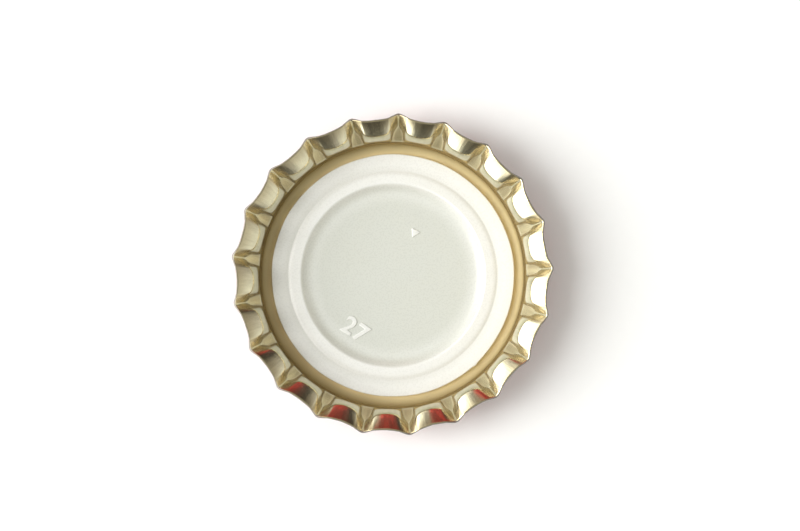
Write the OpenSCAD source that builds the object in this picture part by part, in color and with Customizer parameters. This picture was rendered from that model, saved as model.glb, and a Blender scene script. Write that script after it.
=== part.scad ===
// Crown cap with its moulded sealing liner, lying on its top panel with the mouth up.
// The origin is the centre of the top panel's outer face. All sizes are millimetres.

/* [Shell] */
// Inside diameter at the land, where the lip of the bottle goes
inner_d = 26.75; // [22:0.05:34]
// Thickness of the tinplate
sheet = 0.235; // [0.18:0.005:0.3]
// Height from the top panel's outer face to the rim
cap_h = 6.0; // [5:0.05:8]
// Outside radius of the corner between the top panel and the skirt
corner_r = 1.9; // [1.5:0.05:2.4]
// Height of the straight land between the corner and the teeth
land_h = 0.35; // [0.2:0.05:0.6]

/* [Teeth] */
// Number of teeth
tooth_count = 21; // [17:1:25]
// How far the tips reach out past the land
flare = 2.44; // [1.8:0.02:3]
// Depth of the rim's hollows, measured in from the tips
tooth_depth = 0.57; // [0.4:0.01:0.8]
// How much lower the tips end than the panels between them
tip_drop = 0.18; // [0:0.01:0.4]
// Share of the skirt's height up to which a panel is upright
panel_start = 0.45; // [0.2:0.01:0.6]
// Slope of a panel above that, outwards over up
panel_lean = 0.26; // [0.1:0.01:0.4]
// Share of the skirt's height at which a panel bends out towards the rim
panel_bend = 0.768; // [0.65:0.002:0.85]
// Half width of a tooth at its root, in degrees
root_half = 2.9; // [2.4:0.1:4]
// Half width of a tooth at the rim, in degrees
rim_half = 3.6; // [3:0.1:5]
// Half width of the flat in a tooth's root, in degrees
flat_half = 2.2; // [1:0.1:2.3]
// Share of the skirt's height at which that flat has narrowed to a ridge
flat_end = 0.64; // [0.3:0.01:0.8]
// Half width of the ridge at the rim, in degrees
ridge_half = 0.3; // [0:0.05:1]

/* [Liner] */
// Gap between the land and the liner's outer edge
liner_inset = 1.125; // [0.9:0.025:1.6]
// Thickness of the flat web in the middle
web_t = 0.30; // [0.2:0.01:0.45]
// Height of the bead's crest above the panel
bead_h = 0.92; // [0.6:0.01:1.2]
// Height of the liner at the bottom of the groove
groove_h = 0.76; // [0.5:0.01:0.85]
// Height of the sealing lip above the panel
lip_h = 0.89; // [0.8:0.01:1.4]
// Width of the flange, from the groove to the lip's crest
flange_w = 1.62; // [1.2:0.02:2]
// Width of the bead's outer slope, from its crest to the groove
bead_w = 1.20; // [0.8:0.02:1.5]
// Width of the dished slope, from the web to the bead's crest
dish_w = 2.1; // [1.4:0.05:2.8]
// Radius of the lip's rounded outer edge
lip_round = 0.10; // [0.05:0.01:0.3]

/* [Hidden] */
round_fn = 96;                        // fineness of the round surfaces
land_r = inner_d / 2;                 // inside of the land
land_out_r = land_r + sheet;          // outside of the land
corner_c = land_out_r - corner_r;     // radius at which the corner's arcs are centred
skirt_z = corner_r + land_h;          // where the teeth begin
pitch_half = 180 / tooth_count;       // half the angle from one tooth to the next
skirt_h = cap_h - skirt_z;            // height of the teeth
valley_out = flare - tooth_depth;     // how far the rim's hollows reach out past the land

shoulder = 0.02;                      // share of the height over which the skirt turns outwards
bend_soft = 0.045;                    // rounding of a panel's bends, as a share of the height
ridge_soft = 0.3;                     // rounding of a tooth's ridge, in degrees
edge_soft = 0.22;                     // rounding of a tooth's edges, in degrees
flat_power = 4;                       // how late a tooth's flat narrows
edge_root = 0.14;                     // height of those edges in the tooth's section, low down
edge_rim = 0.27;                      // and at the rim
side_root = 4;                        // how close to the tooth a panel's sides bend, low down
side_rim = 2;                         // and at the rim
seat_in = 0.01;                       // the skirt's foot is this much thinner on each side
seat_deep = 0.15;                     // and goes this deep into the land

// Rings of the skirt up its height, and columns across half a tooth pitch, as shares
rings = [0, 0.22, panel_start, 0.7, 0.82, 1];
half_columns = [0.13, 0.26, 0.4, 0.62];
columns = concat([0], half_columns, [1], [for (i = [3:-1:0]) 2 - half_columns[i]]);
column_count = len(columns) * tooth_count;

function blend(low, high, t) = low + (high - low) * t;
function soft_ramp(x, e) = (x + sqrt(x * x + e * e)) / 2;
function soft_start(x, e) = sqrt(x * x + e * e) - e;

// Reach of a panel's middle past the land: upright, then leaning out, then bent to the rim
function bent(t, from) = soft_ramp(t - from, bend_soft) - soft_ramp(-from, bend_soft);
lean_out = panel_lean * skirt_h;
function panel_reach(t) = lean_out * bent(t, panel_start)
    + (valley_out - lean_out * bent(1, panel_start)) * bent(t, panel_bend) / bent(1, panel_bend);

// Raw section of one tooth at the angle v from its ridge: flat or ridge, flank, curved side
function half_at(t) = blend(root_half, rim_half, t);
function flat_at(t) = max(flat_half * (1 - pow(t / flat_end, flat_power)), ridge_half * t);
function flank(v, t) = (soft_ramp(half_at(t) - v, edge_soft) - soft_ramp(flat_at(t) - v, edge_soft))
    / (half_at(t) - flat_at(t));
function side(v, t) = pow(max(0, 1 - soft_ramp(v - half_at(t), edge_soft) / (pitch_half - half_at(t))),
    blend(side_root, side_rim, t));
function raw_tooth(v, t) = let (edge = blend(edge_root, edge_rim, t))
    (1 - edge) * flank(v, t) + edge * side(v, t);

// The same, scaled to 1 on the ridge and 0 in the middle of a panel
function rounded(u) = pitch_half * soft_start(u, ridge_soft) / soft_start(pitch_half, ridge_soft);
function tooth(u, t) = (raw_tooth(rounded(u), t) - raw_tooth(pitch_half, t))
    / (raw_tooth(0, t) - raw_tooth(pitch_half, t));

// Outer face of the skirt, at the angle a round the axis and the share t of its height
function from_ridge(a) = a - 2 * pitch_half * round(a / (2 * pitch_half));
function reach(u, t) = blend(panel_reach(t), flare * t, tooth(u, t));
slope_step = 0.001;                   // share of the height over which a slope is taken
rim_slope = atan((panel_reach(1) - panel_reach(1 - slope_step)) / (slope_step * skirt_h));
rim_z = cap_h - sheet * sin(rim_slope);
function skirt_point(a, t) = let (
        u = from_ridge(a),
        r = land_out_r - seat_in + reach(u, soft_start(t, shoulder) / soft_start(1, shoulder)),
        z = skirt_z + t * (rim_z - skirt_z - tip_drop * tooth(u, 1)))
    [r * cos(a), r * sin(a), z];

// The inner face lies one sheet thickness along the normal from the outer face
function unit(v) = v / norm(v);
function inward(a, t) = let (
        da = 0.05,
        dt = 0.01,
        t0 = min(t, 1 - dt),
        across = skirt_point(a + da, t) - skirt_point(a - da, t),
        up = skirt_point(a, t0 + dt) - skirt_point(a, t0))
    unit(cross(up, across));
function inner_point(a, t) = skirt_point(a, t) + (sheet - 2 * seat_in) * inward(a, t);
function foot_point(a, r) = [r * cos(a), r * sin(a), skirt_z - seat_deep];

// Flat panel, rounded corner and straight land, turned as one section
module shell_section() {
    square([corner_c, sheet]);
    translate([corner_c, corner_r]) intersection() {
        difference() {
            circle(r = corner_r, $fn = round_fn);
            circle(r = corner_r - sheet, $fn = round_fn);
        }
        translate([0, -2 * corner_r]) square(2 * corner_r);
    }
    translate([land_r, corner_r]) square([sheet, land_h]);
}

// Fluted skirt: rings of points up the outer face and down the inner face
module skirt() {
    angles = [for (i = [0:tooth_count - 1], c = columns) (2 * i + c) * pitch_half];
    outer = [for (t = rings, a = angles) skirt_point(a, t)];
    inner = [for (t = rings, a = angles) inner_point(a, t)];
    foot_out = [for (a = angles) foot_point(a, land_out_r - seat_in)];
    foot_in = [for (a = angles) foot_point(a, land_r + seat_in)];
    n = column_count;
    inner_down = [for (k = [len(rings) - 1:-1:0], i = [0:n - 1]) inner[k * n + i]];
    loops = 2 * len(rings) + 2;
    points = concat(foot_out, outer, inner_down, foot_in);
    faces = [for (k = [0:loops - 1], i = [0:n - 1], half = [0, 1]) let (
            j = (i + 1) % n,
            low = k * n,
            high = ((k + 1) % loops) * n)
        half == 0 ? [low + i, high + i, high + j] : [low + i, high + j, low + j]];
    polyhedron(points = points, faces = faces, convexity = 4);
}

module crown_shell() {
    color([0.78, 0.71, 0.50]) union() {
        rotate_extrude($fn = round_fn) shell_section();
        skirt();
    }
}

// Places across the liner, from its outer edge inwards
liner_r = land_r - liner_inset;
lip_r = liner_r - lip_round;
groove_r = lip_r - flange_w;
bead_r = groove_r - bead_w;
web_r = bead_r - dish_w;
fillet_r = corner_r - sheet;          // inside radius of the corner
seat_gap = 0.02;                      // play between the liner's edge and the corner
edge_z = corner_r - sqrt(pow(fillet_r, 2) - pow(liner_r - corner_c, 2)) + seat_gap;
dish_power = 4.2;                     // how late the dish turns up
slope_power = 6;                      // how late the bead's outer slope drops into the groove
flange_power = 2;                     // how early the flange rises
steps = 8;                            // points along each curve of the section

// Section of the liner: web, dish, bead, groove, flange and rounded lip
module liner_section() {
    dish = [for (i = [0:steps]) let (x = i / steps)
        [web_r + dish_w * x, sheet + blend(web_t, bead_h, pow(x, dish_power))]];
    slope = [for (i = [1:steps]) let (x = i / steps)
        [bead_r + bead_w * x, sheet + blend(bead_h, groove_h, (x + pow(x, slope_power)) / 2)]];
    flange = [for (i = [1:steps]) let (x = i / steps)
        [groove_r + flange_w * x, sheet + blend(lip_h, groove_h, pow(1 - x, flange_power))]];
    lip = [for (i = [1:steps]) let (w = 90 - 90 * i / steps)
        [lip_r + lip_round * cos(w), sheet + lip_h - lip_round + lip_round * sin(w)]];
    polygon(concat([[0, sheet], [0, sheet + web_t]], dish, slope, flange, lip,
        [[liner_r, edge_z], [corner_c, sheet]]));
}

module sealing_liner() {
    color([0.95, 0.95, 0.92]) rotate_extrude($fn = round_fn) liner_section();
}

crown_shell();
sealing_liner();
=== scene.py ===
"""Crown cap lying mouth up: a pressed shell with fluted skirt, and a moulded liner inside it."""

import math

import bmesh
import bpy
import numpy as np
from bpy.props import (
    FloatProperty,
    FloatVectorProperty,
    IntProperty,
    PointerProperty,
    StringProperty,
)
from mathutils import Matrix, Vector


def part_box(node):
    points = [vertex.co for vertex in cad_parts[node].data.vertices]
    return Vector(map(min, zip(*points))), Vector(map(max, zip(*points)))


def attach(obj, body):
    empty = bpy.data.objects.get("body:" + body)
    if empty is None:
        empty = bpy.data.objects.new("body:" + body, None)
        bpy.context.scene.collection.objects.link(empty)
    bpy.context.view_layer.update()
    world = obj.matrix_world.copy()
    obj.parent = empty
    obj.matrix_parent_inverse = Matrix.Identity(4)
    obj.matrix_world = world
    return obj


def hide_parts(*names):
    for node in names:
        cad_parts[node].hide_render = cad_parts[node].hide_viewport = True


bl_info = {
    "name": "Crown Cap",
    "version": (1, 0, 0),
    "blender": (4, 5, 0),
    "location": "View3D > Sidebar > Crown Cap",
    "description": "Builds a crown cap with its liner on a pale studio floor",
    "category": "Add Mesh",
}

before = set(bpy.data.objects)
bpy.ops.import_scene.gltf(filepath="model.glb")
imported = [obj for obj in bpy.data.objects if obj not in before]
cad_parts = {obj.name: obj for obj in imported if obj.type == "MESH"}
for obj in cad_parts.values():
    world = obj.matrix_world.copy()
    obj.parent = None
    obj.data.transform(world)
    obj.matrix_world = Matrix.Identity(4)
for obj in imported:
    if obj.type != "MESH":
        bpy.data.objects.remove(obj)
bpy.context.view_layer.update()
SHELL_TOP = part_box("crown_shell")[1]
LINER_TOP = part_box("sealing_liner")[1]

BODY = "root"
SHELL_SLOT = "lacquered_tinplate"
LINER_SLOT = "white_liner"
MM = 0.001
MERGE = 1e-7            # points closer than this are one
SLOPE_STEP = 1e-3       # share of the skirt's height over which a slope is taken

# Columns of the skirt's mesh from a ridge to the middle of a panel: across the flat or ridge,
# across the flank, and across the panel's side.
COLUMNS = (4, 6, 7)
RING_COUNT = 40         # steps of the skirt's mesh up its height
ARC_STEPS = 12          # steps round the outside of the shell's corner
LINER_SECTORS = 20      # sectors of the liner's mesh
LINER_COLUMNS = 21      # columns in each of them

# The liner's curves, as powers of the share of their width.
DISH_POWER = 4.2        # how late the dish turns up
SLOPE_POWER = 6         # how late the bead's outer slope drops into the groove
FLANGE_POWER = 2        # how early the flange rises

# Where the lacquer's finishes and its painted highlights and shade fade in or out, in millimetres
# outside the land.
BAND_HIGHLIGHT_FADE = (-1.075, -0.525)
BAND_END = (-0.295, -0.035)
CREASE_SHADE_START = (-0.675, -0.075)
CREASE_SHADE_END = (0.005, 0.125)
CHANNEL_START = (0.025, 0.225)
ROOT_SHADE_END = (0.225, 1.125)
RIDGE_HIGHLIGHT_START = (0.925, 1.525)

# The same across a tooth, in pitches from its ridge: the painted highlight on the ridge, the painted
# shade at the bends, and the channel.
RIDGE_HIGHLIGHT_SIDE = (0.012, 0.04)
BEND_SHADE_START = (0.12, 0.15)
BEND_SHADE_END = (0.17, 0.2)
CHANNEL_SIDE = (0.15, 0.215)

RIM_SHADE = (-0.786, -0.036)    # where the rim's shade fades in, in millimetres above the rim
DRAWN_RADIUS = 14.0     # where the drawn lines are as wide as their noise says, in millimetres

ROOM_REACH = 0.9        # radius of the room's ring, in metres
ROOM_HEIGHT = 1.2       # and its height
ROOM_GLOW = 4.0         # what its brightness is multiplied by
ROOM_CLOUD = 0.007      # scale of its mottle, per millimetre

# Brightness of the room round the cap, before ROOM_GLOW, against degrees round the axis.
ROOM = (
    (-180, (1.0, 1.0, 1.0)), (-130, (1.0, 1.0, 1.0)), (-115, (0.10, 0.10, 0.09)),
    (-104, (0.045, 0.042, 0.036)), (-80, (0.05, 0.046, 0.038)), (-64, (0.16, 0.155, 0.15)),
    (-50, (0.30, 0.30, 0.29)), (-10, (0.29, 0.29, 0.28)), (18, (0.22, 0.21, 0.20)),
    (38, (0.11, 0.10, 0.09)), (52, (0.022, 0.016, 0.013)), (64, (0.05, 0.010, 0.009)),
    (74, (0.17, 0.008, 0.008)), (96, (0.28, 0.015, 0.014)), (107, (0.20, 0.17, 0.15)),
    (124, (0.45, 0.45, 0.44)), (134, (1.0, 1.0, 1.0)), (180, (1.0, 1.0, 1.0)),
)

# How mottled it is there.
MOTTLE = ((-180, 0.0), (-118, 0.1), (-104, 0.6), (-74, 0.6), (-60, 0.1), (30, 0.15), (52, 0.7),
          (110, 0.7), (126, 0.1), (180, 0.0))


# ---------------------------------------------------------------- sizes and colours

def length(name, description, default):
    """A size in metres."""
    return FloatProperty(name=name, description=description, default=default, unit="LENGTH",
                         precision=6, min=-1.0, max=10.0)


def share(name, description, default):
    """A plain number."""
    return FloatProperty(name=name, description=description, default=default, precision=4)


def turn(name, description, degrees):
    """An angle, given in degrees."""
    return FloatProperty(name=name, description=description, default=math.radians(degrees),
                         unit="ROTATION", precision=4)


def colour(name, description, default):
    """A linear colour."""
    return FloatVectorProperty(name=name, description=description, default=default,
                               subtype="COLOR", size=3, min=0.0, max=1.0)


class ShellSizes(bpy.types.PropertyGroup):
    """Sizes of the pressed shell."""

    height: length("Height", "From the top panel's outer face to the rim", SHELL_TOP.z)
    tip_radius: length("Tip radius", "From the axis to the tips of the teeth",
                       SHELL_TOP.x - 0.02 * MM)
    land_radius: length("Land radius", "Inside of the straight land", 13.375 * MM)
    sheet: length("Sheet", "Thickness of the tinplate", 0.235 * MM)
    corner: length("Corner", "Outside radius of the corner", 1.9 * MM)
    land: length("Land", "Height of the straight land", 0.35 * MM)
    edge_lean: length("Edge lean", "How much further the inner face goes than the outer",
                      0.05 * MM)
    edge_round: length("Edge round", "How far the cut edge is rounded", 0.03 * MM)


class ToothSizes(bpy.types.PropertyGroup):
    """Form of the fluted skirt."""

    count: IntProperty(name="Teeth", description="Number of teeth", default=21, min=3)
    depth: length("Depth", "Depth of the rim's hollows, from the tips", 0.57 * MM)
    tip_drop: length("Tip drop", "How much lower the tips end than the panels", 0.18 * MM)
    shoulder: share("Shoulder", "Share of the height over which the skirt turns out", 0.02)
    panel_start: share("Panel start", "Share of the height up to which a panel is upright", 0.45)
    panel_foot: share("Panel foot", "Slope of a panel above that, outwards over up", 0.26)
    panel_bend: share("Panel bend", "Share of the height at which a panel bends out", 0.768)
    panel_bend_soft: share("Panel bend softness", "Share of the height of those bends", 0.045)
    root_half: turn("Root half width", "Half width of a tooth's channel at its root", 2.9)
    rim_half: turn("Rim half width", "Half width of a tooth's channel at the rim", 3.6)
    flat_half: turn("Flat half width", "Half width of the flat in a tooth's root", 2.2)
    flat_end: share("Flat end", "Share of the height where the flat is a ridge", 0.64)
    ridge_half: turn("Ridge half width", "Half width of the ridge at the rim", 0.3)
    ridge_soft: turn("Ridge rounding", "Rounding of the ridge", 0.3)
    crease_soft: turn("Crease rounding", "Rounding of the channel's edges", 0.22)
    crease_root: share("Crease at root", "Height share of the channel's edge low down", 0.14)
    crease_rim: share("Crease at rim", "Height share of the channel's edge at the rim", 0.27)
    side_power_root: share("Side power at root", "How close a panel's sides bend low down", 4.0)
    side_power_rim: share("Side power at rim", "How close a panel's sides bend at the rim", 2.0)
    stray: length("Stray", "How much one tooth differs from the next", 0.03 * MM)
    lean_stray: turn("Lean", "How much one tooth leans aside more than the next", 0.12)
    seed: IntProperty(name="Seed", description="Seed of the differences", default=5)


class LinerSizes(bpy.types.PropertyGroup):
    """Sizes of the moulded liner."""

    radius: length("Radius", "Outer edge of the liner", LINER_TOP.x)
    top: length("Top", "Height of the sealing lip above the floor", 1.125 * MM)
    web: length("Web", "Thickness of the flat web", 0.30 * MM)
    bead: length("Bead", "Height of the bead's crest above the panel", 0.92 * MM)
    groove: length("Groove", "Height of the liner in the groove", 0.76 * MM)
    lip_round: length("Lip round", "Radius of the lip's outer edge", 0.10 * MM)
    flange_w: length("Flange", "From the groove to the lip's crest", 1.62 * MM)
    bead_w: length("Bead slope", "From the bead's crest to the groove", 1.20 * MM)
    dish_w: length("Dish", "From the web to the bead's crest", 2.1 * MM)
    edge_foot: length("Edge foot", "Height at which the outer edge meets the corner", 0.36 * MM)
    number: StringProperty(name="Number", description="Plain cavity number", default="27")
    number_height: length("Number height", "Height of the digits", 1.92 * MM)
    number_raise: length("Number raise", "How far the digits stand proud", 0.10 * MM)
    number_radius: length("Number radius", "From the axis to the number", 6.62 * MM)
    number_turn: turn("Number turn", "Where the number stands, round the axis", 233.3)
    nick_size: length("Nick size", "Side of the small raised triangle", 1.45 * MM)
    nick_radius: length("Nick radius", "From the axis to the raised triangle", 4.87 * MM)
    nick_turn: turn("Nick turn", "Where the triangle stands, round the axis", 60.8)
    flash_turn: turn("Flash turn", "Where a scrap of flash stands on the edge", 310.6)
    flash_reach: length("Flash reach", "How far the scrap of flash stands out", 0.12 * MM)
    flash_half: turn("Flash half width", "Half width of the scrap of flash", 0.9)
    edge_wander: length("Edge wander", "How far the outer edge wanders", 0.015 * MM)


class Finishes(bpy.types.PropertyGroup):
    """Colours of the finishes, linear."""

    lacquer: colour("Lacquer", "Gold lacquer on the inside", (0.66, 0.615, 0.43))
    band: colour("Band", "Lacquer stretched matt in the corner", (0.66, 0.565, 0.33))
    # The band's foot colour is a painted highlight: brighter lacquer beside the liner.
    band_foot_highlight: colour("Band foot", "The same beside the liner", (0.93, 0.80, 0.52))
    # The crease colour is painted shade for the tight bend above the corner, where the steep wall lies
    # in shade.
    crease: colour("Crease", "Lacquer burnt in the tight line above the corner", (0.34, 0.25, 0.105))
    channel: colour("Channel", "Lacquer dulled in the teeth's channels", (0.62, 0.535, 0.33))
    # The wrinkle colour also serves as painted shade: at the channels' bends and roots and below the
    # rim.
    wrinkle_and_shade: colour("Wrinkle", "The same in the wrinkles there", (0.30, 0.235, 0.12))
    enamel: colour("Enamel", "Red enamel on the outside", (0.30, 0.012, 0.014))
    fleck: colour("Fleck", "Paler flecks in the enamel", (0.75, 0.08, 0.07))
    steel: colour("Steel", "Bare cut edge", (0.30, 0.285, 0.245))
    liner: colour("Liner", "White of the thick rings", (0.865, 0.865, 0.835))
    web: colour("Web", "Greyer white of the thin web", (0.65, 0.663, 0.61))
    # The nook colour is painted shade, laid in the bend under the bead and in the groove.
    nook_shade: colour("Nook", "Grey in the bend under the bead and in the groove", (0.38, 0.36, 0.27))
    stain: colour("Stain", "Yellower clouds in the liner", (0.62, 0.60, 0.48))
    floor: colour("Floor", "Pale floor", (0.97, 0.97, 0.965))


class StageSettings(bpy.types.PropertyGroup):
    """Camera and light."""

    eye: FloatVectorProperty(name="Eye", description="Where the camera stands", size=3,
                             unit="LENGTH", default=(2.9 * MM, -5.8 * MM, 290 * MM))
    aim: FloatVectorProperty(name="Aim", description="What it looks at", size=3,
                             unit="LENGTH", default=(0.755 * MM, 0.99 * MM, 0.0))
    roll: turn("Roll", "How far the camera is turned about its own axis", 2.17)
    lens: share("Lens", "Focal length in millimetres", 129.0)
    sky: share("Sky", "Strength of the even light", 1.48)
    west: colour("West", "The room's brightness on the left", (0.95, 0.94, 0.91))
    east: colour("East", "The room's brightness on the right", (0.44, 0.455, 0.405))
    zenith: share("Zenith", "How much darker the room is overhead", 0.45)
    ends: share("Ends", "How much darker the room is in front and behind", 0.6)
    key: share("Key", "Power of the large light on the left, in watts", 2.7)
    key_place: FloatVectorProperty(name="Key place", description="Where the large light stands",
                                   size=3, unit="LENGTH", default=(-0.40, 0.0, 0.39))
    key_size: FloatVectorProperty(name="Key size", description="Height and width of that light",
                                  size=2, unit="LENGTH", default=(0.27, 0.52))


# ---------------------------------------------------------------- shader helpers

class Wire:
    """A socket that can be used in sums. Each operator adds a Math node."""

    def __init__(self, graph, socket):
        self.graph = graph
        self.socket = socket

    def _math(self, operation, *values):
        return self.graph.node("ShaderNodeMath", {"operation": operation}, *values)

    def __add__(self, other):
        return self._math("ADD", self, other)

    __radd__ = __add__

    def __sub__(self, other):
        return self._math("SUBTRACT", self, other)

    def __rsub__(self, other):
        return self._math("SUBTRACT", other, self)

    def __mul__(self, other):
        return self._math("MULTIPLY", self, other)

    __rmul__ = __mul__

    def at_least(self, other):
        return self._math("MAXIMUM", self, other)


class Graph:
    """The node tree of one material, with one method that adds any node."""

    def __init__(self, name, tree_owner=None):
        self.owner = tree_owner or bpy.data.materials.new(name)
        self.owner.use_nodes = True
        self.tree = self.owner.node_tree
        self.tree.nodes.clear()

    def node(self, kind, settings=None, *values, output=0, **named):
        """Adds a node. Settings come first, then the values or links of its sockets."""
        made = self.tree.nodes.new(kind)
        for key, value in (settings or {}).items():
            if key == "stops":
                self._stops(made.color_ramp, value)
            else:
                setattr(made, key, value)
        for index, value in enumerate(values):
            self._feed(made.inputs[index], value)
        for key, value in named.items():
            self._feed(made.inputs[key.replace("_", " ")], value)
        return Wire(self, made.outputs[output]) if made.outputs else made

    def _stops(self, ramp, stops):
        while len(ramp.elements) < len(stops):
            ramp.elements.new(0.5)
        for element, (place, value) in zip(ramp.elements, stops):
            element.position = place
            element.color = (*value, 1.0) if hasattr(value, "__len__") else (value,) * 3 + (1.0,)

    def _feed(self, socket, value):
        if value is None:
            return
        if isinstance(value, Wire):
            self.tree.links.new(value.socket, socket)
        elif hasattr(value, "__len__") and len(value) == 3 and socket.type == "RGBA":
            socket.default_value = (*value, 1.0)
        else:
            socket.default_value = value

    def place(self):
        """Object coordinates in millimetres."""
        spot = self.node("ShaderNodeTexCoord", output="Object")
        return self.node("ShaderNodeVectorMath", {"operation": "SCALE"}, spot, Scale=1 / MM)

    def split(self, vector):
        """The three parts of a vector."""
        made = self.tree.nodes.new("ShaderNodeSeparateXYZ")
        self._feed(made.inputs[0], vector)
        return [Wire(self, made.outputs[i]) for i in range(3)]

    def from_axis(self, x, y):
        """The level vector from the axis, and its length."""
        level = self.node("ShaderNodeCombineXYZ", None, x, y, 0.0)
        return level, self.node("ShaderNodeVectorMath", {"operation": "LENGTH"}, level,
                                output="Value")

    def noise(self, vector, scale, detail=2.0, rough=0.5):
        return self.node("ShaderNodeTexNoise", None, Vector=vector, Scale=scale,
                         Detail=detail, Roughness=rough)

    def ramp_round(self, around, stops):
        """A ramp whose stops stand at degrees round the axis, from -180 to 180."""
        stops = [((degrees + 180) / 360, value) for degrees, value in stops]
        return self.node("ShaderNodeValToRGB", {"stops": stops}, around)

    def span(self, value, low, high, to_low=0.0, to_high=1.0):
        """Maps a range onto another, smoothly and clamped."""
        return self.node("ShaderNodeMapRange", {"interpolation_type": "SMOOTHSTEP"}, value,
                         low, high, to_low, to_high)

    def fade(self, value, zone):
        """1 below the zone and 0 above it."""
        return self.span(value, *zone, 1.0, 0.0)

    def mix(self, factor, first, second):
        """Mixes two colours."""
        made = self.tree.nodes.new("ShaderNodeMix")
        made.data_type = "RGBA"
        sockets = {s.identifier: s for s in made.inputs}
        self._feed(sockets["Factor_Float"], factor)
        self._feed(sockets["A_Color"], first)
        self._feed(sockets["B_Color"], second)
        return Wire(self, next(s for s in made.outputs if s.identifier == "Result_Color"))

    def bump(self, height, strength, distance, normal=None):
        return self.node("ShaderNodeBump", None, Height=height, Strength=strength,
                         Distance=distance, Normal=normal)

    def surface(self, **sockets):
        """The Principled surface and the output."""
        shader = self.node("ShaderNodeBsdfPrincipled", None, **sockets)
        self.node("ShaderNodeOutputMaterial", None, shader)
        return self.owner


# ---------------------------------------------------------------- mesh helpers

def new_mesh_object(name, bm, materials):
    """Turns a bmesh into a smooth-shaded object that sits at the origin."""
    mesh = bpy.data.meshes.new(name)
    bm.to_mesh(mesh)
    bm.free()
    for material in materials:
        mesh.materials.append(material)
    mesh.shade_smooth()
    made = bpy.data.objects.new(name, mesh)
    bpy.context.scene.collection.objects.link(made)
    return made


def spin_strip(bm, points, sectors, columns, material=0):
    """Spins an open row of (radius, height) points round the axis: first through one sector,
    whose strip is then spun on as copies. Ends on the axis are merged by close_up."""
    start = len(bm.faces)
    sector = 2 * math.pi / sectors
    about = {"cent": (0, 0, 0), "axis": (0, 0, 1)}
    verts = [bm.verts.new((r, 0.0, z)) for r, z in points]
    edges = [bm.edges.new(pair) for pair in zip(verts, verts[1:])]
    bmesh.ops.spin(bm, geom=verts + edges, angle=sector, steps=columns, **about)
    bm.faces.ensure_lookup_table()
    first = bm.faces[start:]
    strip = list({v for f in first for v in f.verts}) + list({e for f in first for e in f.edges})
    bmesh.ops.spin(bm, geom=strip + first, angle=sector * (sectors - 1), steps=sectors - 1,
                   use_duplicate=True, **about)
    bm.faces.ensure_lookup_table()
    for face in bm.faces[start:]:
        face.material_index = material


def close_up(bm):
    """Merges the spun strips and points all faces outwards."""
    bmesh.ops.remove_doubles(bm, verts=bm.verts, dist=MERGE)
    bmesh.ops.recalc_face_normals(bm, faces=bm.faces)


def arc(centre, radius, start, end, steps):
    """Points (radius, height) along an arc, angles in degrees from the outward direction."""
    angles = np.radians(np.linspace(start, end, steps + 1))
    return [(centre[0] + radius * math.cos(a), centre[1] + radius * math.sin(a)) for a in angles]


def settle(piece, slot, *nodes):
    """Parents a piece to the body's empty and hides the CAD nodes it stands for. The slot is not used.
    """
    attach(piece, BODY)
    if nodes:
        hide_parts(*nodes)


# ---------------------------------------------------------------- the fluted skirt

def soft_ramp(x, e):
    """0 below zero and x above it, with a bend of the softness e."""
    return (x + np.sqrt(x * x + e * e)) / 2


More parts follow.
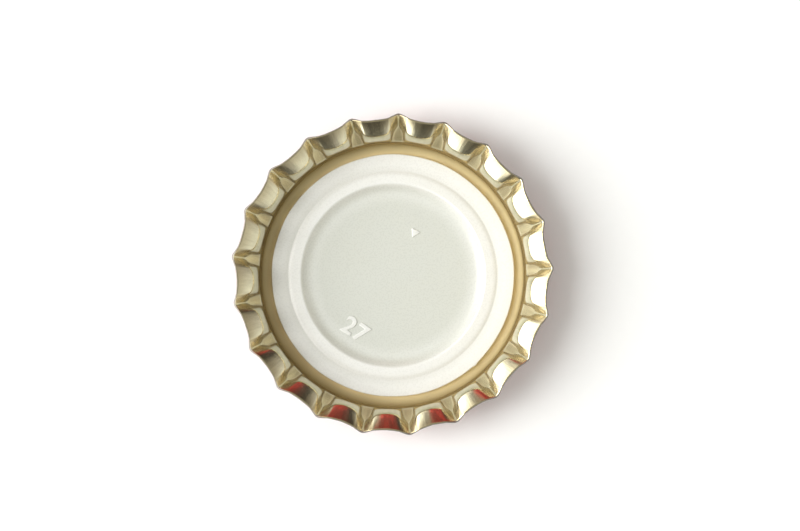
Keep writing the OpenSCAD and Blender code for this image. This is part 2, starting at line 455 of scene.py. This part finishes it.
class Skirt:
    """The form of the skirt: where each point lies, from its angle and share of the height."""

    tip_share = 0.4         # share of the stray that a tip takes, always inwards
    tip_most = 0.6
    rolls = 41              # places of the rolling ball that are tried for each point

    def __init__(self, shell, tooth):
        self.shell, self.tooth = shell, tooth
        self.pitch = 2 * math.pi / tooth.count
        self.land_out = shell.land_radius + shell.sheet
        self.foot = shell.corner + shell.land
        self.flare = shell.tip_radius - self.land_out
        self.valley = self.flare - tooth.depth
        random = np.random.default_rng(tooth.seed)
        self.tip_stray = random.normal(0, 1, tooth.count)
        self.lean_stray = random.normal(0, 1, tooth.count)
        self.panel_stray = random.normal(0, 1, tooth.count)
        slope = self.rim_slope()
        self.rim = shell.height - shell.sheet * slope / math.hypot(1, slope) - shell.edge_round

    def gather(self, angle, t):
        """Moves evenly spaced columns onto the edges of the nearest tooth."""
        k, half = self.tooth, self.pitch / 2
        near = np.round(angle / self.pitch)
        u = angle - near * self.pitch
        column = np.abs(u) / half * sum(COLUMNS)
        width, flat = self.edges(t)
        top, flank, side = (np.clip((column - start) / count, 0, 1) for start, count in
                            zip((0, COLUMNS[0], COLUMNS[0] + COLUMNS[1]), COLUMNS))
        v = flat * np.sin(math.pi / 2 * top) + (width - flat) * (1 - np.cos(math.pi * flank)) / 2
        v = v + (half - width) * (1 - np.cos(math.pi / 2 * side))
        v = v * (math.hypot(half, k.ridge_soft) - k.ridge_soft) / half + k.ridge_soft
        return near * self.pitch + np.copysign(np.sqrt(np.maximum(v * v - k.ridge_soft ** 2, 0)), u)

    def edges(self, t):
        """Half widths of a tooth's channel and of the flat or ridge in it."""
        k = self.tooth
        grow = np.clip(t, 0, 1)
        width = k.root_half + (k.rim_half - k.root_half) * grow
        return width, np.maximum(k.flat_half * (1 - (grow / k.flat_end) ** 4), k.ridge_half * grow)

    def panel_reach(self, t):
        """How far a panel's middle lies outside the land, at the share t of the height."""
        k, rise = self.tooth, self.shell.height - self.foot
        lean = k.panel_foot * rise

        def bent(at):
            low = soft_ramp(-at, k.panel_bend_soft)
            return soft_ramp(t - at, k.panel_bend_soft) - low, soft_ramp(1 - at, k.panel_bend_soft) - low

        first, first_full = bent(k.panel_start)
        second, second_full = bent(k.panel_bend)
        return lean * first + (self.valley - lean * first_full) * second / second_full

    def rim_slope(self):
        """Slope of a panel at the rim, outwards over up."""
        rise = self.shell.height - self.foot
        reach = self.panel_reach(1.0) - self.panel_reach(1.0 - SLOPE_STEP)
        return float(reach) / (SLOPE_STEP * rise)

    def section(self, u, t):
        """Share of the tooth's height at the angle u from its ridge: 1 on it, 0 mid panel."""
        k = self.tooth
        half = self.pitch / 2
        grow = np.clip(t, 0, 1)
        width, flat = self.edges(t)
        crease = k.crease_root + (k.crease_rim - k.crease_root) * grow
        power = k.side_power_root + (k.side_power_rim - k.side_power_root) * grow
        soft = k.ridge_soft

        def raw(v):
            v = np.sqrt(v * v + soft * soft) - soft
            v = v * half / (math.hypot(half, soft) - soft)
            flank = (soft_ramp(width - v, k.crease_soft) - soft_ramp(flat - v, k.crease_soft)) \
                / (width - flat)
            side = (half - width - soft_ramp(v - width, k.crease_soft)) / (half - width)
            return (1 - crease) * flank + crease * np.maximum(side, 0) ** power

        low = raw(np.full_like(u, half))
        return (raw(u) - low) / (raw(np.zeros_like(u)) - low)

    def outer(self, angle, t):
        """Points of the outer face."""
        k = self.tooth
        near = np.round(angle / self.pitch).astype(int)
        panel = np.floor(angle / self.pitch).astype(int) % k.count
        u = angle - near * self.pitch
        near = near % k.count
        reach_share = t * (2 - t)
        away = 1 - (2 * u / self.pitch) ** 2
        u = u - k.lean_stray * self.lean_stray[near] * away * reach_share
        form = self.section(u, t)
        e = k.shoulder
        ts = (np.sqrt(t * t + e * e) - e) / (math.hypot(1, e) - e)
        low = self.panel_reach(ts)
        reach = low + (self.flare * ts - low) * form
        inset = self.tip_share * (np.minimum(self.tip_stray[near], self.tip_most) - self.tip_most)
        reach = reach + k.stray * ts * (inset * form
                                        + self.panel_stray[panel] * (1 - form) * away)
        top = self.rim - k.tip_drop * self.section(u, np.ones_like(t))
        r = self.land_out + reach
        return np.stack([r * np.cos(angle), r * np.sin(angle),
                         self.foot + t * (top - self.foot)], -1)

    def point(self, angle, t, depth, proud):
        """A point in the sheet: depth 0 is the outer face and 1 the inner one, and proud is
        how far it stands past the cut edge. The inner face is what a ball as thick as the sheet
        leaves free when it rolls along the outer one, so it never folds over a ridge."""
        sheet = self.shell.sheet
        t0 = np.minimum(t, 1 - SLOPE_STEP)
        start = self.outer(angle, t)
        up = self.outer(angle, t0 + SLOPE_STEP) - self.outer(angle, t0)
        up /= np.linalg.norm(up, axis=-1, keepdims=True)
        lean = up[:, 0] * np.cos(angle) + up[:, 1] * np.sin(angle)
        inward = np.stack([-up[:, 2] * np.cos(angle), -up[:, 2] * np.sin(angle), lean], -1)
        inward /= np.linalg.norm(inward, axis=-1, keepdims=True)
        thick = np.zeros_like(angle)
        for roll in np.linspace(-1, 1, self.rolls) * sheet / self.shell.land_radius:
            off = self.outer(angle + roll, t) - start
            along = (off * inward).sum(-1)
            room = sheet ** 2 + along ** 2 - (off ** 2).sum(-1)
            thick = np.maximum(thick, np.where(room > 0, along + np.sqrt(np.maximum(room, 0)), 0))
        return start + inward * (depth * thick)[:, None] + up * proud[:, None]


# ---------------------------------------------------------------- finishes

def darker(tone, by):
    """A colour times a number."""
    return tuple(c * by for c in tone)


def gold_lacquer(f, shell, teeth):
    """Clear gold lacquer over drawn tinplate: fine drawn lines up the skirt, dull streaked channels in
    the teeth, a matt band on the corner and faint orange peel.
    Painted highlights on the band beside the liner and on the teeth's upper ridges; painted shade in the
    tight line above the corner, at the channels' bends and roots and below the rim."""
    g = Graph("gold_lacquer")
    spot = g.place()
    x, y, z = g.split(spot)
    level, radius = g.from_axis(x, y)
    out = radius - shell.land_radius / MM
    around = g.node("ShaderNodeVectorMath", {"operation": "NORMALIZE"}, level)
    spread = g.node("ShaderNodeVectorMath", {"operation": "SCALE"}, around, Scale=DRAWN_RADIUS)
    ax, ay, _ = g.split(spread)
    drawn_at = g.node("ShaderNodeCombineXYZ", None, ax, ay, (z + radius) * 0.12)
    drawn = g.noise(drawn_at, 3.2, 3.0, 0.6)
    broad = g.noise(drawn_at, 1.7, 1.0, 0.5)
    peel = g.noise(spot, 5.5, 2.0, 0.55)
    cloud = g.noise(spot, 0.45, 2.0, 0.5)

    turned = g.node("ShaderNodeMath", {"operation": "ARCTAN2"}, y, x) * (teeth / (2 * math.pi))
    off = g.node("ShaderNodeMath", {"operation": "PINGPONG"}, turned, 0.5)
    channel = g.fade(off, CHANNEL_SIDE) * g.span(out, *CHANNEL_START)
    # Painted shade along the bends where the channel meets the panel.
    bent = g.span(off, *BEND_SHADE_START) * g.fade(off, BEND_SHADE_END)
    # Painted highlight along the upper part of each tooth's ridge.
    ridge = g.fade(off, RIDGE_HIGHLIGHT_SIDE) * g.span(out, *RIDGE_HIGHLIGHT_START)
    matt = g.fade(out, BAND_END)
    # Painted shade along the tight bend above the corner.
    crease = g.span(out, *CREASE_SHADE_START) * g.fade(out, CREASE_SHADE_END)

    clear = g.mix(g.span(cloud, 0.3, 0.7), f.lacquer, darker(f.lacquer, 0.9))
    clear = g.mix(g.span(drawn, 0.4, 0.65, 0.0, 0.6), clear, darker(f.lacquer, 0.8))
    # Painted shade below the rim, in the wrinkle colour.
    clear = g.mix(g.span(z - shell.height / MM, *RIM_SHADE) * 0.6, clear, f.wrinkle_and_shade)
    # Random dark streaks in the channels, plus the painted shade of their bends.
    streak_and_bend_shade = g.span(broad, 0.42, 0.62, 0.0, 0.5).at_least(bent * 0.6)
    dull = g.mix(streak_and_bend_shade, f.channel, f.wrinkle_and_shade)
    # Painted shade at the roots of the channels.
    dull = g.mix(g.fade(out, ROOT_SHADE_END) * 0.35, dull, f.wrinkle_and_shade)
    # Painted highlight: the upper ridges take the bright lacquer colour.
    dull = g.mix(ridge * 0.8, dull, f.lacquer)
    # Painted highlight: the band is brightened beside the liner.
    band = g.mix(g.span(out, *BAND_HIGHLIGHT_FADE), f.band_foot_highlight, f.band)
    tone = g.mix(matt, g.mix(channel * 0.9, clear, dull), band)

    grain = g.bump((drawn - 0.5) * (1.0 - channel), 0.8, 0.01 * MM)
    # The base colour takes the painted crease shade last.
    return g.surface(Base_Color=g.mix(crease * 0.8, tone, f.crease),
                     Metallic=0.92 - matt * 0.42,
                     Roughness=g.span(peel, 0.3, 0.7, 0.1, 0.16) + matt * 0.36 + channel * 0.11,
                     Normal=g.bump(peel, 0.06, 0.012 * MM, grain),
                     Coat_Weight=0.2, Coat_Roughness=0.1)


def red_enamel(f):
    """Stoved red enamel with a glossy varnish and its faint orange peel."""
    g = Graph("red_enamel")
    spot = g.place()
    peel = g.noise(spot, 3.0, 2.0, 0.5)
    cloud = g.noise(spot, 0.35, 3.0, 0.55)
    fleck = g.noise(spot, 16.0, 1.0, 0.5)
    tone = g.mix(g.span(cloud, 0.3, 0.7), f.enamel, darker(f.enamel, 0.82))
    tone = g.mix(g.span(fleck, 0.66, 0.8, 0.0, 0.35), tone, f.fleck)
    rough = g.span(peel, 0.3, 0.7, 0.26, 0.36)
    skin = g.bump(peel, 0.25, 0.015 * MM)
    return g.surface(Base_Color=tone, Roughness=rough, Normal=skin, Coat_Weight=0.8,
                     Coat_Roughness=0.08)


def cut_steel(f):
    """Bare sheared edge of the tinplate, with the scratches of the shear."""
    g = Graph("cut_steel")
    spot = g.place()
    shear = g.noise(g.node("ShaderNodeVectorMath", {"operation": "MULTIPLY"}, spot,
                           (9.0, 9.0, 1.5)), 1.6, 2.0, 0.6)
    tone = g.mix(shear, f.steel, darker(f.steel, 0.6))
    rough = g.span(shear, 0.3, 0.7, 0.32, 0.5)
    return g.surface(Base_Color=tone, Metallic=1.0, Roughness=rough,
                     Normal=g.bump(shear, 0.4, 0.02 * MM))


def liner_plastic(f, sizes, shell):
    """Soft white liner: greyer where it is thin over the metal, with painted shade in the bend under the
    bead and in the groove, and fine turned tool marks.
    """
    g = Graph("liner_plastic")
    spot = g.place()
    x, y, z = g.split(spot)
    radius = g.from_axis(x, y)[1]
    wander = g.noise(spot, 0.5, 2.0, 0.5)
    edge = radius + (wander - 0.5) * 0.5
    bead = (sizes.radius - sizes.lip_round - sizes.flange_w - sizes.bead_w) / MM
    top, dish = (shell.sheet + sizes.web) / MM, bead - sizes.dish_w / MM
    thick = g.span(edge, dish - 0.2, dish + 0.95) * 0.3 + g.span(edge, bead - 0.6, bead) * 0.7
    groove = bead + sizes.bead_w / MM
    raised = g.span(z, top + 0.02, top + 0.1) * g.fade(radius, (dish + 0.5, dish + 0.8))
    thick = thick.at_least(raised * 0.8)
    # Painted shade in the bend under the bead and in the groove.
    nook_shade = g.span(radius, bead - 1.3, bead - 0.45) * g.fade(radius, (bead - 0.25, bead))
    groove_shade = g.span(radius, groove - 0.6, groove - 0.1) * g.fade(radius, (groove, groove + 0.8))
    tone = g.mix(nook_shade * 0.22 + groove_shade * 0.15, g.mix(thick, f.web, f.liner), f.nook_shade)
    cloud = g.noise(spot, 0.22, 3.0, 0.55)
    tone = g.mix(g.span(cloud, 0.35, 0.7, 0.0, 0.06), tone, f.stain)
    fine = g.noise(spot, 6.0, 2.0, 0.5)
    turned = g.noise(g.node("ShaderNodeCombineXYZ", None, radius * 9.0, 0.0, 0.0), 1.0, 2.0, 0.6)
    rough = g.span(fine, 0.3, 0.7, 0.24, 0.34)
    skin = g.bump(turned, 0.12, 0.01 * MM, g.bump(fine, 0.12, 0.012 * MM))
    return g.surface(Base_Color=tone, Roughness=rough, Normal=skin, IOR=1.5,
                     Subsurface_Weight=0.1, Subsurface_Radius=(1.0, 1.0, 0.9),
                     Subsurface_Scale=0.35 * MM)


def pale_floor(f):
    """Matt white table top with a very faint tooth."""
    g = Graph("pale_floor")
    spot = g.place()
    tooth = g.noise(spot, 0.8, 2.0, 0.5)
    tone = g.mix(g.span(tooth, 0.3, 0.7), f.floor, darker(f.floor, 0.99))
    return g.surface(Base_Color=tone, Roughness=0.7)


# ---------------------------------------------------------------- pieces

class CROWNCAP_OT_shell(bpy.types.Operator):
    """Builds the pressed shell: top panel, corner, land and fluted skirt, as one closed sheet"""

    bl_idname = "crowncap.shell"
    bl_label = "Shell"

    tube_height = 1.0 * MM      # the straight tube that is moved to the skirt's places
    edge_lift = 0.1 * MM        # marks the cut edge's points above it
    panel_rings = (0.5, 0.97)   # rings of the flat panel, as shares of its radius
    across_edge = (0.12, 0.35, 0.65, 0.88)
    lean_start = 0.9            # share of the height from which the inner face goes further

    def execute(self, context):
        shell, tooth = context.scene.crown_shell, context.scene.crown_teeth
        finishes = context.scene.crown_finishes
        skirt = Skirt(shell, tooth)
        bm = bmesh.new()
        for material, points in enumerate(self.strips(shell, skirt)):
            spin_strip(bm, points, tooth.count, 2 * sum(COLUMNS), material)
        close_up(bm)
        self.flute(bm, shell, skirt)
        made = new_mesh_object("crown_shell_skin", bm, [
            red_enamel(finishes), cut_steel(finishes),
            gold_lacquer(finishes, shell, tooth.count)])
        settle(made, SHELL_SLOT, "crown_shell")
        return {"FINISHED"}

    def strips(self, shell, skirt):
        """Outer face, cut edge and inner face as rows of points. The skirt is still a straight
        tube here: a point's share of the tube's height is its share of the true height."""
        centre = (skirt.land_out - shell.corner, shell.corner)
        tube = [skirt.foot + self.tube_height * i / RING_COUNT for i in range(RING_COUNT + 1)]
        panel = [0.0] + [centre[0] * s for s in self.panel_rings]
        outer = [(r, 0.0) for r in panel] + arc(centre, shell.corner, -90, 0, ARC_STEPS)
        outer += [(skirt.land_out, z) for z in tube]
        edge = [(skirt.land_out - shell.sheet * s, tube[-1] + self.edge_lift)
                for s in self.across_edge]
        edge = [outer[-1]] + edge + [(shell.land_radius, tube[-1])]
        inner = [(shell.land_radius, z) for z in reversed(tube)]
        inner += arc(centre, shell.corner - shell.sheet, 0, -90, ARC_STEPS - 2)
        inner += [(r, shell.sheet) for r in reversed(panel)]
        return outer, edge, inner

    def flute(self, bm, shell, skirt):
        """Moves the straight tube's points to their places in the fluted skirt."""
        place = np.array([v.co for v in bm.verts])
        radius = np.hypot(place[:, 0], place[:, 1])
        t = np.clip((place[:, 2] - skirt.foot) / self.tube_height, 0.0, 1.0)
        angle = skirt.gather(np.arctan2(place[:, 1], place[:, 0]), t)
        for vert, r, a in zip(bm.verts, radius, angle):
            vert.co.x, vert.co.y = r * math.cos(a), r * math.sin(a)
        high = place[:, 2] > skirt.foot + MERGE
        tube = [v for v, is_high in zip(bm.verts, high) if is_high]
        place, radius, t, angle = place[high], radius[high], t[high], angle[high]
        depth = (skirt.land_out - radius) / shell.sheet
        on_edge = place[:, 2] > skirt.foot + self.tube_height + self.edge_lift / 2
        bulge = np.sqrt(np.clip(1 - (2 * depth - 1) ** 2, 0, 1))
        proud = np.where(on_edge, shell.edge_round * bulge, 0)
        proud = proud + shell.edge_lean * depth * np.clip((t - self.lean_start)
                                                          / (1 - self.lean_start), 0, 1)
        for vert, co in zip(tube, skirt.point(angle, t, depth, proud)):
            vert.co = co


class CROWNCAP_OT_liner(bpy.types.Operator):
    """Builds the moulded liner: web, dish, bead, groove, flange and lip"""

    bl_idname = "crowncap.liner"
    bl_label = "Liner"

    web_rings = (0.0, 0.5, 0.95)    # rings of the flat web, as shares of its radius

    def execute(self, context):
        sizes, shell = context.scene.crown_liner, context.scene.crown_shell
        bm = bmesh.new()
        spin_strip(bm, self.section(sizes, shell), LINER_SECTORS, LINER_COLUMNS)
        close_up(bm)
        self.stray(bm, sizes)
        made = new_mesh_object("liner_skin", bm, [
            liner_plastic(context.scene.crown_finishes, sizes, shell)])
        settle(made, LINER_SLOT, "sealing_liner")
        return {"FINISHED"}

    def section(self, s, shell):
        """The liner's outline as (radius, height), from the axis over the top to the axis."""
        floor = shell.sheet
        lip = s.radius - s.lip_round
        groove = lip - s.flange_w
        bead = groove - s.bead_w
        web = bead - s.dish_w
        corner = shell.land_radius + shell.sheet - shell.corner
        points = [(web * part, floor + s.web) for part in self.web_rings]
        for x in np.linspace(0, 1, 17):
            rise = (s.bead - s.web) * x ** DISH_POWER
            points.append((web + s.dish_w * x, floor + s.web + rise))
        for x in np.linspace(0, 1, 15)[1:]:
            fall = 1 - (x + x ** SLOPE_POWER) / 2
            points.append((bead + s.bead_w * x, floor + s.groove + (s.bead - s.groove) * fall))
        for x in np.linspace(0, 1, 17)[1:]:
            rise = 1 - (1 - x) ** FLANGE_POWER
            points.append((groove + s.flange_w * x,
                           floor + s.groove + (s.top - floor - s.groove) * rise))
        points += arc((lip, s.top - s.lip_round), s.lip_round, 90, 0, 8)[1:]
        points += [(s.radius, s.edge_foot), (corner, floor), (0.0, floor)]
        return points

    def stray(self, bm, s):
        """A scrap of flash on the outer edge, and the edge's slight wander."""
        lip = s.radius - s.lip_round
        for vert in bm.verts:
            radius = math.hypot(vert.co.x, vert.co.y)
            if radius < lip:
                continue
            angle = math.atan2(vert.co.y, vert.co.x)
            off = (angle - s.flash_turn + math.pi) % (2 * math.pi) - math.pi
            reach = s.flash_reach * math.exp(-(off / s.flash_half) ** 2)
            reach += s.edge_wander * (math.sin(5 * angle + 1) + math.sin(13 * angle) - 2)
            grow = (radius + reach * (radius - lip) / s.lip_round) / radius
            vert.co.x *= grow
            vert.co.y *= grow


class CROWNCAP_OT_marks(bpy.types.Operator):
    """Builds the raised cavity number and the small raised triangle on the liner's web"""

    bl_idname = "crowncap.marks"
    bl_label = "Liner marks"

    # Form of the digits, for a height of 1, and the triangle's shares of its size
    letter_form = {"extrude": 0.05, "bevel_depth": 0.03, "bevel_resolution": 3,
                   "resolution_u": 8, "space_character": 1.1}
    nick_top = 0.38
    nick_bevel = 0.05

    def execute(self, context):
        sizes, shell = context.scene.crown_liner, context.scene.crown_shell
        finish = bpy.data.materials["liner_plastic"]
        top = shell.sheet + sizes.web
        number = self.number(sizes, finish)
        self.set_down(number, sizes.number_radius, sizes.number_turn, top)
        nick = self.nick(sizes, finish)
        self.set_down(nick, sizes.nick_radius, sizes.nick_turn, top)
        for piece in (number, nick):
            settle(piece, LINER_SLOT)
        return {"FINISHED"}

    def number(self, s, finish):
        """Plain digits, raised and rounded, as a mesh about its own middle."""
        curve = bpy.data.curves.new("cavity_number", "FONT")
        curve.body = s.number
        curve.align_x = "CENTER"
        curve.align_y = "CENTER"
        for key, value in self.letter_form.items():
            setattr(curve, key, value)
        text = bpy.data.objects.new("cavity_number_text", curve)
        bpy.context.scene.collection.objects.link(text)
        bpy.context.view_layer.update()
        shaped = text.evaluated_get(bpy.context.evaluated_depsgraph_get())
        mesh = bpy.data.meshes.new_from_object(shaped)
        bpy.data.objects.remove(text)
        low = np.min([v.co for v in mesh.vertices], axis=0)
        high = np.max([v.co for v in mesh.vertices], axis=0)
        size = s.number_height / (high[1] - low[1])
        middle = (low + high) / 2
        thick = 2 * s.number_raise / (high[2] - low[2])
        mesh.transform(Matrix.Diagonal((size, size, thick, 1)) @ Matrix.Translation(-Vector(middle)))
        mesh.materials.clear()
        mesh.materials.append(finish)
        mesh.shade_smooth()
        made = bpy.data.objects.new("cavity_number", mesh)
        bpy.context.scene.collection.objects.link(made)
        return made

    def nick(self, s, finish):
        """A small raised triangle."""
        bm = bmesh.new()
        bmesh.ops.create_cone(bm, cap_ends=True, segments=3, radius1=s.nick_size / 2,
                              radius2=s.nick_size * self.nick_top, depth=2 * s.number_raise)
        bmesh.ops.bevel(bm, geom=bm.edges, offset=s.nick_size * self.nick_bevel, segments=3,
                        profile=0.5, affect="EDGES", material=-1)
        return new_mesh_object("liner_nick", bm, [finish])

    def set_down(self, piece, radius, angle, height):
        """Puts a mark on the web, with its head towards the axis."""
        turned = Matrix.Rotation(angle + math.pi / 2, 4, "Z")
        spot = Matrix.Translation((radius * math.cos(angle), radius * math.sin(angle), height))
        piece.data.transform(spot @ turned)


class CROWNCAP_OT_stage(bpy.types.Operator):
    """Sets up the pale floor, the soft light and the camera"""

    bl_idname = "crowncap.stage"
    bl_label = "Stage"

    floor_half = 3.0        # half the floor's width, in metres

    def execute(self, context):
        settings = context.scene.crown_stage
        self.floor(context.scene.crown_finishes)
        self.light(settings)
        self.camera(settings)
        context.scene.view_settings.view_transform = "Standard"
        return {"FINISHED"}

    def floor(self, finishes):
        """The wide pale floor that the cap lies on."""
        bm = bmesh.new()
        bmesh.ops.create_grid(bm, x_segments=8, y_segments=8, size=self.floor_half)
        made = new_mesh_object("floor", bm, [pale_floor(finishes)])

    def light(self, s):
        """The even light of the room, the large light on the left and the room's reflection."""
        world = bpy.data.worlds.new("studio")
        bpy.context.scene.world = world
        g = Graph("studio", world)
        x, y, z = g.split(g.node("ShaderNodeTexCoord", output="Generated"))
        tone = g.mix(x * 0.5 + 0.5, tuple(s.west), tuple(s.east))
        up = z.at_least(0.0)
        power = (1.0 - up * up * s.zenith) * (1.0 - y * y * s.ends) * s.sky
        back = g.node("ShaderNodeBackground", None, tone, power)
        g.node("ShaderNodeOutputWorld", None, back)
        self.key(s)
        self.surround()

    def surround(self):
        """A ring round the cap that is seen in its gloss alone: the room beside the table,
        white on the left, pale on the right, red behind the cap and dark in front of it."""
        bm = bmesh.new()
        bmesh.ops.create_cone(bm, segments=96, radius1=ROOM_REACH, radius2=ROOM_REACH,
                              depth=ROOM_HEIGHT)
        bmesh.ops.translate(bm, vec=(0, 0, ROOM_HEIGHT / 2), verts=bm.verts)
        bmesh.ops.reverse_faces(bm, faces=bm.faces)
        g = Graph("surround")
        around = g.node("ShaderNodeTexGradient", {"gradient_type": "RADIAL"},
                        g.node("ShaderNodeTexCoord", output="Object"), output="Fac")
        cloud = g.span(g.noise(g.place(), ROOM_CLOUD, 3.0, 0.6), 0.42, 0.6)
        tone = g.mix(cloud * g.ramp_round(around, MOTTLE), g.ramp_round(around, ROOM),
                     (0.0, 0.0, 0.0))
        g.node("ShaderNodeOutputMaterial", None,
               g.node("ShaderNodeEmission", None, tone, ROOM_GLOW))
        made = new_mesh_object("surround", bm, [g.owner])
        made.visible_camera = made.visible_diffuse = made.visible_transmission = False
        made.visible_shadow = made.visible_volume_scatter = False

    def key(self, s):
        """A soft light, low and wide, that faces the cap from the left."""
        lamp = bpy.data.lights.new("key", "AREA")
        lamp.shape = "RECTANGLE"
        lamp.size, lamp.size_y = s.key_size
        lamp.energy = s.key
        made = bpy.data.objects.new("key", lamp)
        made.location = s.key_place
        made.rotation_euler = Vector(s.key_place).to_track_quat("Z", "Y").to_euler()
        bpy.context.scene.collection.objects.link(made)

    def camera(self, s):
        """A long lens that looks almost straight down."""
        lens = bpy.data.cameras.new("camera")
        lens.lens = s.lens
        lens.clip_start = 0.01
        made = bpy.data.objects.new("camera", lens)
        eye, aim = Vector(s.eye), Vector(s.aim)
        back = (eye - aim).normalized()
        right = Vector((math.cos(s.roll), -math.sin(s.roll), 0.0))
        right = (right - back * right.dot(back)).normalized()
        turned = Matrix((right, back.cross(right), back)).transposed().to_4x4()
        made.matrix_world = Matrix.Translation(eye) @ turned
        bpy.context.scene.collection.objects.link(made)
        bpy.context.scene.camera = made


class CROWNCAP_PT_panel(bpy.types.Panel):
    """Lists the steps that build the cap"""

    bl_idname = "CROWNCAP_PT_panel"
    bl_label = "Crown Cap"
    bl_space_type = "VIEW_3D"
    bl_region_type = "UI"
    bl_category = "Crown Cap"

    def draw(self, context):
        for step in STEPS:
            self.layout.operator(step.bl_idname)
        for name in GROUPS:
            box = self.layout.box()
            settings = getattr(context.scene, name)
            for key in settings.__annotations__:
                box.prop(settings, key)


# ---------------------------------------------------------------- registration

GROUPS = {
    "crown_shell": ShellSizes,
    "crown_teeth": ToothSizes,
    "crown_liner": LinerSizes,
    "crown_finishes": Finishes,
    "crown_stage": StageSettings,
}
STEPS = (CROWNCAP_OT_shell, CROWNCAP_OT_liner, CROWNCAP_OT_marks, CROWNCAP_OT_stage)


def register():
    for group in GROUPS.values():
        bpy.utils.register_class(group)
    for name, group in GROUPS.items():
        setattr(bpy.types.Scene, name, PointerProperty(type=group))
    for item in (*STEPS, CROWNCAP_PT_panel):
        bpy.utils.register_class(item)


def unregister():
    for item in (CROWNCAP_PT_panel, *reversed(STEPS)):
        bpy.utils.unregister_class(item)
    for name in GROUPS:
        delattr(bpy.types.Scene, name)
    for group in reversed(GROUPS.values()):
        bpy.utils.unregister_class(group)


def main():
    register()
    bpy.ops.crowncap.shell()
    bpy.ops.crowncap.liner()
    bpy.ops.crowncap.marks()
    bpy.ops.crowncap.stage()


if __name__ == "__main__":
    main()
